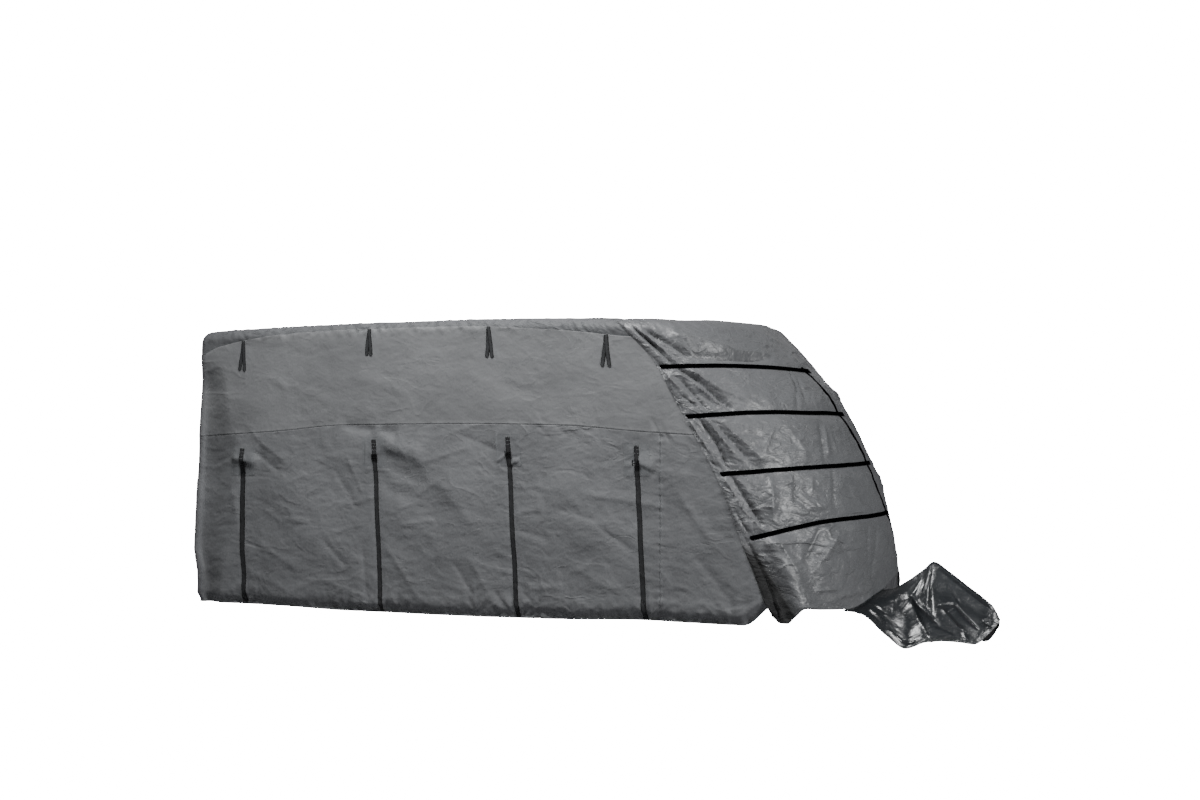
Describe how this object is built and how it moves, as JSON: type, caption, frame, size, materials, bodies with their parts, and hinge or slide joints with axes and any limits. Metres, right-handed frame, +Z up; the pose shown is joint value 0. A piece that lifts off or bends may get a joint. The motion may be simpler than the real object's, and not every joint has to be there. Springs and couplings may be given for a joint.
{
  "type": "caravan cover",
  "caption": "Fitted fabric cover for a touring caravan, with straps, buckles, tie tapes, front bands and a drawbar hood.",
  "frame": {"origin": "the point under the middle of the roof cloth, where it rests on the vehicle's roof, 2.6 m forward of the rear hem", "axes": "+X forward to the drawbar hood, +Y to the far side, +Z up"},
  "size_m": [6.5365, 2.1603, 2.4509],
  "materials": {
    "cover_cloth": "matte woven",
    "front_cloth": "slightly glossy coated",
    "hitch_cloth": "glossy coated",
    "webbing": "ribbed matte",
    "buckle_plastic": "moulded"
  },
  "bodies": {
    "root": {"near_lower_rear": "cover_cloth", "near_lower_front": "cover_cloth", "near_upper": "cover_cloth", "far_lower_rear": "cover_cloth", "far_lower_front": "cover_cloth", "far_upper": "cover_cloth", "rear": "cover_cloth", "roof": "cover_cloth", "front": "front_cloth", "hitch_cover": "hitch_cloth", "near_patch_1": "cover_cloth", "near_strap_1": "webbing", "near_buckle_1": "buckle_plastic", "near_tie_1a": "webbing", "near_tie_1b": "webbing", "near_patch_2": "cover_cloth", "near_strap_2": "webbing", "near_buckle_2": "buckle_plastic", "near_tie_2a": "webbing", "near_tie_2b": "webbing", "near_patch_3": "cover_cloth", "near_strap_3": "webbing", "near_buckle_3": "buckle_plastic", "near_tie_3a": "webbing", "near_tie_3b": "webbing", "near_patch_4": "cover_cloth", "near_strap_4": "webbing", "near_buckle_4": "buckle_plastic", "near_tie_4a": "webbing", "near_tie_4b": "webbing", "far_patch_1": "cover_cloth", "far_strap_1": "webbing", "far_buckle_1": "buckle_plastic", "far_tie_1a": "webbing", "far_tie_1b": "webbing", "far_patch_2": "cover_cloth", "far_strap_2": "webbing", "far_buckle_2": "buckle_plastic", "far_tie_2a": "webbing", "far_tie_2b": "webbing", "far_patch_3": "cover_cloth", "far_strap_3": "webbing", "far_buckle_3": "buckle_plastic", "far_tie_3a": "webbing", "far_tie_3b": "webbing", "far_patch_4": "cover_cloth", "far_strap_4": "webbing", "far_buckle_4": "buckle_plastic", "far_tie_4a": "webbing", "far_tie_4b": "webbing", "front_webbing": "webbing", "front_band_1": "webbing", "front_band_2": "webbing", "front_band_3": "webbing", "front_band_4": "webbing", "near_rear_webbing": "webbing", "far_rear_webbing": "webbing"}
  },
  "joints": []
}
